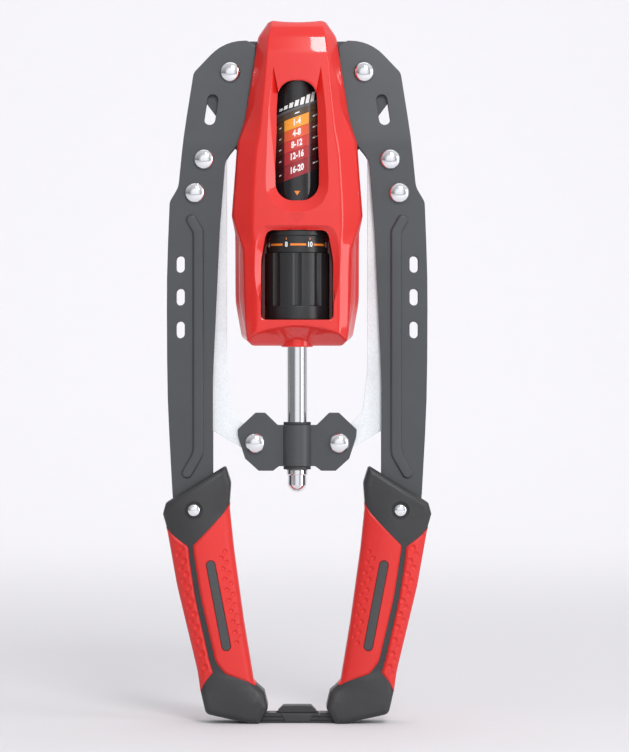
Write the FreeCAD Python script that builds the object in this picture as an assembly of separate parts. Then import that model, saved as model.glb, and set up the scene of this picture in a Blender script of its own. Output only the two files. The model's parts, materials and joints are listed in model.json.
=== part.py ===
"""Two-arm hydraulic squeeze trainer, in millimetres.

It stands on the flat ends of its two handles. +Z runs up the rod, +X to the right arm, and -Y
is the front. Two double-plate arms hang from a yoke on top of a damper. Each arm's link pulls
on a slider clamped to the damper's rod, so opening the arms lifts the rod into the cylinder.
"""
import FreeCAD, Part
import math
import os

# ---- driving dimensions -------------------------------------------------------------------
PIVOT = (49.5, 482.4)           # arm on yoke
LINK_TOP = (68.9, 417.6)        # link on arm
ARM_SPACER = (75.6, 392.7)      # spacer between the arm's plates
LINK_FOOT = (31.2, 207.2)       # link on slider
HANDLE_PIN = (76.3, 157.8)

YOKE_HALF = 1.5                 # half thickness of the yoke plate
LINK_HALF = 1.8
PLATE = 2.0                     # thickness of every pressed plate
ARM_GAP_HALF = 5.4              # from the middle plane to an arm plate below its bend
ARM_BEND_Z = 431.0
ARM_BEND_SLOPE = math.tan(math.radians(2.5))
SLIDER_GAP_HALF = 2.0

PIVOT_SHANK_R = 4.0
SHANK_R = 3.5
RUNNING = 0.05                  # radial clearance of a running fit
OPEN_EYE_R = 7.8                # eye at the top of the link, see make_link
HEAD_R = 7.6
HEAD_H = 4.6

ROD_R = 7.5
TUBE_R = 19.0
BORE_R = 15.0
TUBE_BOTTOM_Z = 366.0
TUBE_TOP_Z = 478.0
HEAD_BODY_R = 16.5
HEAD_BOTTOM_Z = 292.0
GLAND_Z = 306.0                 # top of the pocket that holds the rod seal and wiper
SPIGOT = 10.0                   # length of the head inside the tube
RETAINER_Z = 296.0
DETENT_Z = 356.0
SCREW_R = 3.0
YOKE_BOLTS_X = (-7.5, 7.5)
YOKE_BOLT_Z = 492.0
KNOB_R = 24.0
KNOB_BOTTOM_Z = 298.4
KNOB_TOP_Z = 348.0
DIAL_TOP_Z = 364.5
DIAL_R = 22.8                   # band that carries the numbers
FLUTES = 9                      # one of them at the front
FLUTE_R = 4.9
FLUTE_DEPTH = 1.3

HOUSING_RIM_Y = 14.0            # the bevel to the front face starts here
HOUSING_FACE_Y = 27.5
HOUSING_WALL = 2.5
ARM_SLOT_HALF = 8.6             # half width of the side slots that the arms swing in

HANDLE_HALF = 18.0
HANDLE_EDGE = 5.0               # bevel round a handle's front and back
PAD_EDGE = 4.0
PAD_DEPTH = 3.5

V = FreeCAD.Vector
X_AXIS = V(1, 0, 0)
Y_AXIS = V(0, 1, 0)
Z_AXIS = V(0, 0, 1)
ORIGIN = V(0, 0, 0)


# ---- shape helpers ------------------------------------------------------------------------
def inset_corners(corners, inset):
    """Move every side of an anticlockwise outline inwards by inset."""
    count = len(corners)
    moved = []
    for i, (x, z, radius) in enumerate(corners):
        before = corners[i - 1]
        after = corners[(i + 1) % count]
        a = V(x - before[0], 0, z - before[1]).normalize()
        b = V(after[0] - x, 0, after[1] - z).normalize()
        turn = a.x * b.z - a.z * b.x
        slide = inset * math.tan(0.5 * math.atan2(turn, a.dot(b)))
        new_x = x - a.z * inset - a.x * slide
        new_z = z + a.x * inset - a.z * slide
        new_radius = max(radius - inset, 0.6) if turn > 0 else radius + inset
        moved.append((new_x, new_z, new_radius))
    return moved


def outline(corners, y, inset=0.0):
    """Closed wire in an XZ plane: straight sides, with each corner (x, z, radius) rounded."""
    if inset:
        corners = inset_corners(corners, inset)
    arcs = []
    count = len(corners)
    for i, (x, z, radius) in enumerate(corners):
        here = V(x, y, z)
        back = (V(corners[i - 1][0], y, corners[i - 1][1]) - here).normalize()
        ahead = (V(corners[(i + 1) % count][0], y, corners[(i + 1) % count][1]) - here).normalize()
        half = 0.5 * back.getAngle(ahead)
        reach = radius / math.tan(half)
        middle = (back + ahead).normalize() * (radius / math.sin(half) - radius)
        arcs.append((here + back * reach, here + middle, here + ahead * reach))
    edges = []
    for i, (start, middle, end) in enumerate(arcs):
        edges.append(Part.Arc(start, middle, end).toShape())
        following = arcs[(i + 1) % count][0]
        if end.distanceToPoint(following) > 1e-4:
            edges.append(Part.makeLine(end, following))
    return Part.Wire(edges)


def slab(corners, y0, y1, inset=0.0):
    """Solid between two XZ planes with a rounded outline."""
    return Part.Face(outline(corners, y0, inset)).extrude(V(0, y1 - y0, 0))


def taper(corners, y0, y1, inset0, inset1):
    """Solid that narrows from one inset outline to another."""
    return Part.makeLoft([outline(corners, y0, inset0), outline(corners, y1, inset1)], True, True)


def bevelled(corners, half, edge):
    """Slab about the middle plane with bevelled front and back edges."""
    middle = slab(corners, -(half - edge), half - edge)
    front = taper(corners, -(half - edge), -half, 0.0, edge)
    back = taper(corners, half - edge, half, 0.0, edge)
    return middle.fuse([front, back]).removeSplitter()


def pin(x, z, radius, y0, y1):
    return Part.makeCylinder(radius, y1 - y0, V(x, y0, z), Y_AXIS)


def post(radius, z0, z1, x=0.0, y=0.0):
    return Part.makeCylinder(radius, z1 - z0, V(x, y, z0), Z_AXIS)


def box(x0, x1, y0, y1, z0, z1):
    return Part.makeBox(x1 - x0, y1 - y0, z1 - z0, V(x0, y0, z0))


def capsule(a, b, radius, y0, y1):
    """Slab with a straight centre line from a to b and half-round ends."""
    along = V(b[0] - a[0], 0, b[1] - a[1])
    side = V(along.z, 0, -along.x).normalize() * radius
    corners = [V(a[0], y0, a[1]) + side, V(b[0], y0, b[1]) + side,
               V(b[0], y0, b[1]) - side, V(a[0], y0, a[1]) - side]
    bar = Part.Face(Part.makePolygon(corners + corners[:1])).extrude(V(0, y1 - y0, 0))
    ends = [pin(a[0], a[1], radius, y0, y1), pin(b[0], b[1], radius, y0, y1)]
    return bar.fuse(ends).removeSplitter()


def turned(points):
    """Solid of revolution about Z from (radius, z) points."""
    wire = Part.makePolygon([V(r, 0, z) for r, z in points + points[:1]])
    return Part.Face(wire).revolve(ORIGIN, Z_AXIS, 360)


def ring(inner, outer, z0, z1):
    return turned([(inner, z0), (outer, z0), (outer, z1), (inner, z1)])


def torus_ring(radius, cord_radius, z):
    return Part.makeTorus(radius, cord_radius, V(0, 0, z), Z_AXIS)


def spring(radius, wire_r, pitch, z0, z1):
    """Round-wire coil spring on the Z axis that fills the height from z0 to z1."""
    helix = Part.makeHelix(pitch, z1 - z0 - 2 * wire_r, radius)
    section = Part.Wire([Part.makeCircle(wire_r, V(radius, 0, 0), Y_AXIS)])
    coil = Part.Wire(helix).makePipeShell([section], True, True)
    coil.translate(V(0, 0, z0 + wire_r))
    return coil


def dome_head(x, z, radius, height, y, outward):
    """Domed rivet head on the plane at y; outward is -1 at the front and +1 at the back."""
    foot = 0.6
    arc = Part.Arc(V(0, 0, height), V(0.62 * radius, 0, 0.80 * height), V(radius, 0, foot))
    sides = [Part.makeLine(V(radius, 0, foot), V(radius, 0, 0)),
             Part.makeLine(V(radius, 0, 0), ORIGIN), Part.makeLine(ORIGIN, V(0, 0, height))]
    head = Part.Face(Part.Wire([arc.toShape()] + sides)).revolve(ORIGIN, Z_AXIS, 360)
    head.rotate(ORIGIN, X_AXIS, -90 * outward)
    head.translate(V(x, y, z))
    return head


def rivet(x, z, shank_r, head_r, head_h, y):
    """Rivet with a domed head on both outside faces, which lie at -y and +y."""
    shank = pin(x, z, shank_r, -y, y)
    heads = [dome_head(x, z, head_r, head_h, -y, -1), dome_head(x, z, head_r, head_h, y, 1)]
    return shank.fuse(heads).removeSplitter()


def mirror_x(shape):
    return shape.mirror(ORIGIN, X_AXIS)


def mirror_y(shape):
    return shape.mirror(ORIGIN, Y_AXIS)


def both_sides(shape):
    """A piece and its mirror image as two separate solids."""
    return Part.makeCompound([shape, mirror_x(shape)])


def symmetric(right_half):
    """Full anticlockwise outline from its right half, listed from bottom to top."""
    return right_half + [(-x, z, r) for x, z, r in reversed(right_half)]


def save(name, shape):
    shape.exportStep("parts/" + name + ".step")


# ---- outlines (x, z, corner radius), each anticlockwise -------------------------------------
ARM = [(52.0, 78.0, 6.0), (74.0, 78.0, 6.0), (92.2, 166.0, 60.0), (96.2, 240.0, 1100.0),
       (96.7, 330.0, 1100.0), (94.5, 386.0, 9.0), (88.0, 397.0, 16.0), (84.3, 434.0, 500.0),
       (76.8, 481.8, 8.0), (54.0, 505.8, 34.0), (37.3, 505.8, 1.5), (30.6, 501.8, 2.0),
       (34.0, 462.0, 20.0), (43.5, 429.3, 8.0), (53.2, 417.5, 18.0), (57.3, 365.0, 300.0),
       (62.4, 255.0, 400.0), (62.4, 150.0, 60.0)]
YOKE = symmetric([(22.0, 481.0, 4.0), (22.0, 446.0, 4.0), (40.0, 424.5, 3.0), (45.2, 424.5, 2.0),
                  (60.4, 450.1, 60.0), (70.5, 463.5, 8.0), (72.5, 480.0, 9.0),
                  (64.0, 491.0, 10.0), (36.5, 505.4, 3.0)])
LINK = [(23.0, 199.0, 7.5), (34.0, 199.0, 6.0), (42.2, 204.6, 20.0), (69.0, 220.3, 9.0),
        (69.0, 402.0, 4.0), (83.0, 409.0, 9.0), (83.0, 432.0, 13.0), (52.1, 432.0, 15.0),
        (52.1, 262.0, 60.0), (48.6, 230.0, 8.0), (36.0, 218.6, 12.0), (23.0, 216.0, 7.5)]
WING = [(9.0, 190.1, 0.5), (13.4, 190.1, 0.8), (17.8, 186.7, 1.0), (28.6, 186.7, 1.0),
        (38.6, 195.7, 2.0), (43.8, 211.8, 6.0), (44.2, 217.4, 2.0), (31.0, 229.8, 1.0),
        (23.8, 229.8, 1.0), (14.5, 220.7, 1.5), (9.0, 220.7, 0.5)]
HOUSING = symmetric([(33.6, 279.4, 2.5), (41.2, 286.2, 7.0), (45.8, 312.0, 60.0),
                     (46.0, 362.5, 5.0), (48.5, 375.5, 4.0), (44.3, 430.0, 6.0),
                     (38.8, 447.0, 8.0), (29.0, 508.0, 12.0), (21.0, 519.6, 3.0)])
HOUSING_FACE = symmetric([(28.6, 288.0, 4.0), (34.6, 293.0, 5.0), (38.2, 314.0, 30.0),
                          (38.6, 346.0, 5.0), (42.0, 376.5, 4.0), (36.0, 430.0, 6.0),
                          (30.8, 446.0, 8.0), (23.2, 503.0, 8.0), (18.5, 512.5, 2.0)])
LABEL_WINDOW = symmetric([(15.9, 386.3, 13.0), (16.2, 412.0, 60.0), (13.6, 474.6, 12.0)])
KNOB_WINDOW = symmetric([(26.6, 298.5, 4.0), (26.6, 342.0, 30.0), (22.6, 364.5, 6.0)])
HANDLE = [(35.0, 0.0, 1.5), (67.5, 7.2, 5.0), (71.0, 22.0, 10.0), (73.3, 38.5, 60.0),
          (88.6, 102.0, 90.0), (95.6, 141.5, 6.0), (99.4, 155.0, 3.0), (97.1, 163.2, 3.0),
          (53.0, 190.6, 1.5), (49.0, 178.0, 10.0), (50.4, 158.5, 6.0), (47.2, 128.0, 80.0),
          (40.0, 76.0, 100.0), (32.6, 31.0, 3.0), (24.3, 23.8, 3.0), (21.4, 11.5, 4.0),
          (25.6, 4.8, 4.0), (28.4, 0.0, 1.0)]
OUTER_PAD = [(71.4, 25.5, 1.0), (73.3, 38.5, 60.0), (88.6, 102.0, 90.0), (96.1, 143.9, 2.0),
             (81.6, 133.2, 6.0), (78.9, 118.0, 80.0), (70.9, 72.5, 120.0), (63.4, 40.5, 5.0)]
INNER_PAD = [(32.3, 29.0, 1.5), (58.4, 40.2, 8.0), (68.8, 81.0, 120.0), (76.8, 131.8, 4.0),
             (49.9, 161.5, 1.5), (50.4, 158.5, 6.0), (47.2, 128.0, 80.0), (40.0, 76.0, 100.0)]
INLAY = ((52.4, 57.4), (63.9, 117.4))
INLAY_R = 3.25


# ---- damper -------------------------------------------------------------------------------
def hexagon(radius, height):
    """Hexagonal prism that stands on the origin along Z."""
    corners = [V(radius * math.cos(a * math.pi / 3), radius * math.sin(a * math.pi / 3), 0)
               for a in range(7)]
    return Part.Face(Part.makePolygon(corners)).extrude(V(0, 0, height))


def make_cylinder():
    """Oil cylinder with the end cap that clamps the yoke."""
    save("cylinder_tube", ring(BORE_R, TUBE_R, TUBE_BOTTOM_Z, TUBE_TOP_Z))
    groove_z = TUBE_TOP_Z - 8.0
    top_z = TUBE_TOP_Z + 4.5
    cap = turned([(0, TUBE_TOP_Z - 14), (BORE_R - 0.1, TUBE_TOP_Z - 14),
                  (BORE_R - 0.1, TUBE_TOP_Z), (TUBE_R, TUBE_TOP_Z), (TUBE_R, top_z), (0, top_z)])
    slot_half = YOKE_HALF + 0.1
    cap = cap.cut(box(-20, 20, -slot_half, slot_half, top_z - 1.6, top_z + 1))
    cheek = box(-13, 13, slot_half, 9, top_z - 0.5, YOKE_BOLT_Z + 8)
    cap = cap.fuse([cheek, mirror_y(cheek)])
    bolt_holes = [pin(x, YOKE_BOLT_Z, SCREW_R, -10, 10) for x in YOKE_BOLTS_X]
    cap = cap.cut(torus_ring(BORE_R - 1.1, 1.1, groove_z)).cut(bolt_holes).removeSplitter()
    save("cylinder_end_cap", cap)
    save("end_cap_o_ring", torus_ring(BORE_R - 1.1, 1.05, groove_z))

    bolts = []
    for x in YOKE_BOLTS_X:
        bolt_head = hexagon(5.2, 4.0)
        bolt_head.rotate(ORIGIN, X_AXIS, -90)
        bolt_head.translate(V(x, 9.0, YOKE_BOLT_Z))
        shank = pin(x, YOKE_BOLT_Z, SCREW_R, -9.0, 9.0)
        bolts.append(shank.fuse([bolt_head, mirror_y(bolt_head)]).removeSplitter())
    save("yoke_bolts", Part.makeCompound(bolts))


def make_head():
    """Cylinder head that the knob turns on, with the rod's gland at its foot."""
    groove_z = TUBE_BOTTOM_Z + 5.0
    rod_hole = ROD_R + RUNNING
    spigot_z = TUBE_BOTTOM_Z + SPIGOT
    head = turned([(rod_hole, GLAND_Z), (rod_hole, spigot_z), (BORE_R - 0.1, spigot_z),
                   (BORE_R - 0.1, TUBE_BOTTOM_Z), (HEAD_BODY_R, TUBE_BOTTOM_Z),
                   (HEAD_BODY_R, HEAD_BOTTOM_Z), (11.0, HEAD_BOTTOM_Z), (11.0, GLAND_Z)])
    head = head.cut(torus_ring(BORE_R - 1.1, 1.1, groove_z))
    ball_pocket = Part.makeCylinder(1.6, 8.0, V(0, 9.0, DETENT_Z), Y_AXIS)
    retainer_groove = ring(HEAD_BODY_R - 1.2, HEAD_BODY_R + 1, RETAINER_Z - 1, RETAINER_Z + 1)
    save("cylinder_head", head.cut([ball_pocket, retainer_groove]))
    save("head_o_ring", torus_ring(BORE_R - 1.1, 1.05, groove_z))
    save("rod_seal", ring(rod_hole, 10.9, GLAND_Z - 6.5, GLAND_Z - 0.2))
    save("rod_wiper", turned([(rod_hole, GLAND_Z - 15), (10.0, GLAND_Z - 14.5),
                              (10.9, GLAND_Z - 13), (10.9, GLAND_Z - 7), (rod_hole, GLAND_Z - 7)]))

    save("detent_ball", Part.makeSphere(1.5, V(0, HEAD_BODY_R - 1.4, DETENT_Z)))
    coil = spring(1.1, 0.22, 0.9, 0.0, HEAD_BODY_R - 12.1)
    coil.rotate(ORIGIN, X_AXIS, -90)
    coil.translate(V(0, 9.1, DETENT_Z))
    save("detent_spring", coil)
    clip = ring(HEAD_BODY_R - 1.1, HEAD_BODY_R + 3.0, RETAINER_Z - 0.9, RETAINER_Z + 0.9)
    save("knob_retainer", clip.cut(box(-4, 4, 10, 25, RETAINER_Z - 2, RETAINER_Z + 2)))


def make_yoke():
    yoke = slab(YOKE, -YOKE_HALF, YOKE_HALF)
    bush_r = PIVOT_SHANK_R + 2.0
    cuts = [pin(x, YOKE_BOLT_Z, SCREW_R, -10, 10) for x in YOKE_BOLTS_X]
    cuts += [pin(side * PIVOT[0], PIVOT[1], bush_r, -10, 10) for side in (-1, 1)]
    save("top_yoke", yoke.cut(cuts))
    bush = pin(PIVOT[0], PIVOT[1], bush_r, -YOKE_HALF, YOKE_HALF)
    bush = bush.cut(pin(PIVOT[0], PIVOT[1], PIVOT_SHANK_R + RUNNING, -10, 10))
    save("pivot_bushes", both_sides(bush))


def make_label():
    save("scale_label", ring(TUBE_R, TUBE_R + 0.6, TUBE_BOTTOM_Z + 12, TUBE_TOP_Z - 1))


# ---- knob ---------------------------------------------------------------------------------
def make_knob():
    journal_r = HEAD_BODY_R + 1.8
    inside_r = HEAD_BODY_R + 0.3
    flute_bottom_z = KNOB_BOTTOM_Z + 10.5
    knob = turned([(inside_r, KNOB_BOTTOM_Z), (KNOB_R - 0.8, KNOB_BOTTOM_Z),
                   (KNOB_R, KNOB_BOTTOM_Z + 0.8), (KNOB_R, KNOB_TOP_Z), (inside_r, KNOB_TOP_Z)])
    flute = post(FLUTE_R, flute_bottom_z, KNOB_TOP_Z + 1, y=-(KNOB_R + FLUTE_R - FLUTE_DEPTH))
    flutes = []
    for step in range(FLUTES):
        cut = flute.copy()
        cut.rotate(ORIGIN, Z_AXIS, 360.0 / FLUTES * step)
        flutes.append(cut)
    sleeve_z = 315.0
    knob = knob.cut(flutes).cut(ring(HEAD_BODY_R, journal_r, sleeve_z, KNOB_TOP_Z + 1))
    save("adjusting_knob", knob)
    save("metering_sleeve", ring(HEAD_BODY_R + RUNNING, journal_r, sleeve_z, KNOB_TOP_Z))
    lip_z = DIAL_TOP_Z - 3.7
    dial = turned([(inside_r, KNOB_TOP_Z), (DIAL_R, KNOB_TOP_Z), (DIAL_R, lip_z - 0.2),
                   (KNOB_R, lip_z + 0.2), (KNOB_R, DIAL_TOP_Z - 0.6),
                   (KNOB_R - 0.6, DIAL_TOP_Z), (inside_r, DIAL_TOP_Z)])
    save("dial_ring", dial)


# ---- housing ------------------------------------------------------------------------------
SCREWS = [(14.5, 511.0), (37.0, 371.0), (32.5, 288.5)]


def housing_solid(inset, face_y):
    """Half of the housing's outside, in front of the middle plane, moved inwards by inset."""
    rim = slab(HOUSING, -HOUSING_RIM_Y, 0.0, inset)
    bevel = Part.makeLoft([outline(HOUSING, -HOUSING_RIM_Y, inset),
                           outline(HOUSING_FACE, -face_y, inset)], True, True)
    return rim.fuse(bevel).removeSplitter()


def make_shell(with_windows):
    outside = housing_solid(0.0, HOUSING_FACE_Y)
    inside = housing_solid(HOUSING_WALL, HOUSING_FACE_Y - HOUSING_WALL)
    shell = outside.cut(inside)

    ribs = []
    for z in (380.5, 470.0):
        rib = box(-45, 45, -HOUSING_FACE_Y, -ARM_SLOT_HALF - 0.5, z, z + 2.4)
        ribs.append(rib.common(outside).cut(post(TUBE_R + 0.7, z - 1, z + 4)))
    bosses = []
    for x, z in SCREWS:
        for side in (-1, 1):
            bosses.append(pin(side * x, z, 3.6, -HOUSING_FACE_Y, 0.0).common(outside))
    shell = shell.fuse(ribs + bosses)

    arm_slot = box(19.8, 60, -ARM_SLOT_HALF, 1, 423.0, 506.2)
    yoke_slot = box(-60, 60, -YOKE_HALF - 0.3, 1, 478.0, 506.2)
    rod_hole = post(12.0, 270, 290)
    cuts = [arm_slot, mirror_x(arm_slot), yoke_slot, rod_hole]
    if with_windows:
        cuts += [slab(KNOB_WINDOW, -40, -15), taper(KNOB_WINDOW, -28.0, -24.5, -2.6, 0.0)]
        cuts += [slab(LABEL_WINDOW, -40, -15), taper(LABEL_WINDOW, -28.0, -24.5, -5.5, 0.0)]
    return shell.cut(cuts)


def make_housing():
    front_holes = []
    back_holes = []
    screws = []
    for x, z in SCREWS:
        for side in (-1, 1):
            front_holes.append(pin(side * x, z, 1.5, -12.0, 1))
            back_holes.append(pin(side * x, z, 1.8, -1, 40))
            back_holes.append(pin(side * x, z, 3.2, 9.0, 40))
            shank = pin(side * x, z, 1.5, -12.0, 9.5)
            head = pin(side * x, z, 2.9, 9.0, 11.6)
            recess = box(side * x - 0.5, side * x + 0.5, 10.4, 12, z - 2, z + 2)
            cross = box(side * x - 2, side * x + 2, 10.4, 12, z - 0.5, z + 0.5)
            screws.append(shank.fuse(head).cut([recess, cross]).removeSplitter())
    save("housing_front", make_shell(True).cut(front_holes))
    save("housing_back", mirror_y(make_shell(False)).cut(back_holes))
    save("housing_screws", Part.makeCompound(screws))
    save("rod_ferrule", turned([(8.0, 278.4), (11.4, 278.4), (12.0, 279.0), (12.0, 286.0),
                                (8.0, 286.0)]))


# ---- rod and slider -----------------------------------------------------------------------
def make_slider():
    piston_z = 380.0
    rod = turned([(0, 177.0), (4.0, 177.0), (4.0, 187.6), (ROD_R, 187.6), (ROD_R, piston_z),
                  (5.0, piston_z), (5.0, 402.0), (0, 402.0)])
    save("piston_rod", rod)
    ring_groove = ring(12.0, BORE_R + 1, piston_z + 3, piston_z + 7)
    piston = ring(5.0, BORE_R - RUNNING, piston_z, piston_z + 11)
    ports = [post(1.2, piston_z - 1, piston_z + 12, x=9 * math.cos(a), y=9 * math.sin(a))
             for a in (0.5, 2.6, 4.7)]
    save("piston", piston.cut([ring_groove] + ports))
    save("piston_ring", ring(12.0, BORE_R - 0.03, piston_z + 3, piston_z + 7))
    nut = hexagon(8.0, 7.0)
    nut.translate(V(0, 0, piston_z + 11))
    save("piston_nut", nut.cut(post(5.0, piston_z, 420)))

    nose = turned([(4.0, 187.6), (4.0, 177.0), (0, 177.0), (0, 176.0), (6.9, 176.0),
                   (6.9, 183.4), (7.4, 183.7), (7.8, 184.2), (7.8, 187.1), (7.4, 187.6)])
    tip = Part.makeSphere(6.9, V(0, 0, 177.9)).common(box(-8, 8, -8, 8, 170, 176.4))
    save("rod_end_cap", nose.fuse(tip).removeSplitter())
    save("slider_bush", turned([(ROD_R, 187.7), (10.2, 187.7), (10.2, 190.1), (9.1, 190.1),
                                (9.1, 220.7), (10.2, 220.7), (10.2, 222.9), (ROD_R, 222.9)]))

    wrap = ring(9.1, 9.1 + PLATE, 190.1, 220.7)
    wrap = wrap.common(box(-20, 20, -20, -SLIDER_GAP_HALF, 180, 240))
    wing = slab(WING, -SLIDER_GAP_HALF - PLATE, -SLIDER_GAP_HALF).cut(post(9.1, 180, 240))
    foot_hole = pin(LINK_FOOT[0], LINK_FOOT[1], SHANK_R, -10, 10)
    plate = wrap.fuse([wing, mirror_x(wing)]).cut([foot_hole, mirror_x(foot_hole)])
    plate = plate.removeSplitter()
    save("slider_plate_front", plate)
    save("slider_plate_back", mirror_y(plate))
    save("slider_rivets", both_sides(
        rivet(LINK_FOOT[0], LINK_FOOT[1], SHANK_R, HEAD_R, HEAD_H, SLIDER_GAP_HALF + PLATE)))


def make_link():
    """The link's top eye is larger than its rivet, so that straight-line ratios can drive it."""
    open_eye = pin(LINK_TOP[0], LINK_TOP[1], OPEN_EYE_R, -5, 5)
    bush_hole = pin(LINK_FOOT[0], LINK_FOOT[1], SHANK_R + 1.5, -5, 5)
    link = slab(LINK, -LINK_HALF, LINK_HALF).cut([open_eye, bush_hole])
    bush = pin(LINK_FOOT[0], LINK_FOOT[1], SHANK_R + 1.5, -LINK_HALF, LINK_HALF)
    bush = bush.cut(pin(LINK_FOOT[0], LINK_FOOT[1], SHANK_R + RUNNING, -5, 5))
    return {"link": link, "link_bush": bush}


# ---- arm ----------------------------------------------------------------------------------
def bent_sheet(inner, outer):
    """Sheet over the whole arm, leaning towards the middle plane above the bend line."""
    top_z = 520.0
    lean = (top_z - ARM_BEND_Z) * ARM_BEND_SLOPE
    profile = [V(0, -inner, 60), V(0, -outer, 60), V(0, -outer, ARM_BEND_Z),
               V(0, -outer + lean, top_z), V(0, -inner + lean, top_z), V(0, -inner, ARM_BEND_Z)]
    return Part.Face(Part.makePolygon(profile + profile[:1])).extrude(V(130, 0, 0))


def arm_face_y(z):
    """Distance from the middle plane to the outside of an arm plate at height z."""
    return ARM_GAP_HALF + PLATE - max(z - ARM_BEND_Z, 0) * ARM_BEND_SLOPE


def make_arm_plate():
    sheet = bent_sheet(ARM_GAP_HALF, ARM_GAP_HALF + PLATE)
    plate = slab(ARM, -20, 0).common(sheet)
    spine = [(78.2, 372.6), (73.3, 364.0), (73.3, 199.6), (81.6, 185.2)]
    rib_y = ARM_GAP_HALF + PLATE
    rib = [capsule(a, b, 4.2, -rib_y - 1.3, -rib_y + 0.5) for a, b in zip(spine, spine[1:])]
    slots = [capsule((86.5, z - 3.0), (86.5, z + 3.0), 3.2, -20, 0) for z in (291.2, 315.5, 339.8)]
    slots.append(capsule((62.6, 461.6), (64.8, 447.2), 4.1, -20, 0))
    holes = [pin(*PIVOT, PIVOT_SHANK_R, -20, 0), pin(*LINK_TOP, SHANK_R, -20, 0),
             pin(*ARM_SPACER, SHANK_R, -20, 0), pin(*HANDLE_PIN, 2.5, -20, 0)]
    return plate.fuse(rib).cut(slots + holes).removeSplitter()


def make_handle(plates):
    outer_pad = bevelled(OUTER_PAD, HANDLE_HALF, PAD_EDGE)
    inner_pad = bevelled(INNER_PAD, HANDLE_HALF, PAD_EDGE)
    whole = bevelled(HANDLE, HANDLE_HALF - 0.8, HANDLE_EDGE)
    web = slab(HANDLE, -HANDLE_HALF + PAD_DEPTH, HANDLE_HALF - PAD_DEPTH, PAD_DEPTH)
    core = whole.cut([slab(OUTER_PAD, -20, 20), slab(INNER_PAD, -20, 20)]).fuse(web)
    inlay = capsule(INLAY[0], INLAY[1], INLAY_R, -HANDLE_HALF + 0.4, -HANDLE_HALF + PAD_DEPTH)
    inlays = Part.makeCompound([inlay, mirror_y(inlay)])
    outer_pad = outer_pad.cut(core)
    inner_pad = inner_pad.cut([core, inlay, mirror_y(inlay)])
    shank = pin(*HANDLE_PIN, 2.5, -15, 15)
    sinks = [pin(*HANDLE_PIN, 6.6, -20, -15), pin(*HANDLE_PIN, 6.6, 15, 20)]
    core = core.cut(plates + sinks + [shank]).removeSplitter()
    return {"handle_core": core, "outer_grip": outer_pad, "inner_grip": inner_pad,
            "grip_inlays": inlays, "handle_rivet": rivet(*HANDLE_PIN, 2.5, 4.7, 2.4, 15)}


def make_arm():
    front = make_arm_plate()
    back = mirror_y(front)
    face = ARM_GAP_HALF + PLATE
    link_rivet = rivet(*LINK_TOP, SHANK_R, HEAD_R, HEAD_H, face)
    spacer_rivet = rivet(*ARM_SPACER, SHANK_R, HEAD_R, HEAD_H, face)
    pivot_rivet = rivet(*PIVOT, PIVOT_SHANK_R, HEAD_R, HEAD_H, arm_face_y(PIVOT[1]))
    collar = pin(*ARM_SPACER, 5.0, -ARM_GAP_HALF, ARM_GAP_HALF)
    arm = {"arm_front_plate": front, "arm_back_plate": back,
           "arm_rivets": Part.makeCompound([link_rivet, spacer_rivet]),
           "pivot_rivet": pivot_rivet.cut([front, back]),
           "arm_spacer": collar.cut(pin(*ARM_SPACER, SHANK_R, -9, 9))}
    arm.update(make_handle([front, back]))
    return arm


# ---- latch --------------------------------------------------------------------------------
def make_latch():
    """Fork on the right handle in a socket on the left one, with a sprung thumb tab."""
    handle = slab(HANDLE, -20, 20)
    seam_x = 16.5
    bottom_z = 0.2
    rim_z = 7.6
    floor_z = 5.4                   # of the pocket under the tab
    tab_z = 7.4
    socket = box(-26, seam_x - 0.1, -9, 9, bottom_z, rim_z)
    socket = socket.cut(box(-15.5, 15.5, -7.9, 7.9, floor_z, 12))
    socket = socket.cut(box(-4, 20, -6.2, 6.2, 1.7, 4.7))
    socket = socket.cut(box(-2.2, 2.2, -2.4, 2.4, 4, 12)).cut(mirror_x(handle))
    fork = box(seam_x + 0.1, 26, -9, 9, bottom_z, rim_z).cut(handle)
    prongs = box(-2.5, seam_x + 1, -5.8, 5.8, 2.0, 4.4).cut(box(-3, 8, -2.8, 2.8, 1, 8))
    save("latch_socket", socket)
    save("latch_fork", fork.fuse(prongs).removeSplitter())
    tab = slab([(-14.6, tab_z, 0.5), (14.6, tab_z, 0.5), (14.2, 8.9, 0.8), (10.3, 12.9, 1.0),
                (-10.3, 12.9, 1.0), (-14.2, 8.9, 0.8)], -7.5, 7.5)
    stem = box(-1.8, 1.8, -2.0, 2.0, 3.6, tab_z + 1)
    save("latch_tab", tab.fuse(stem).removeSplitter())
    save("latch_spring", spring(3.4, 0.25, 0.75, floor_z, tab_z))


def main():
    os.makedirs("parts", exist_ok=True)
    make_cylinder()
    make_head()
    make_yoke()
    make_label()
    make_knob()
    make_housing()
    make_slider()
    make_latch()
    for name, shape in {**make_link(), **make_arm()}.items():
        save("right_" + name, shape)
        save("left_" + name, mirror_x(shape))


main()
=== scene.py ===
"""Looks of the two-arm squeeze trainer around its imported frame. Lengths are in mm until an object is made."""
import json
import math

import bmesh
import bpy
from mathutils import Matrix, Vector


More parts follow.
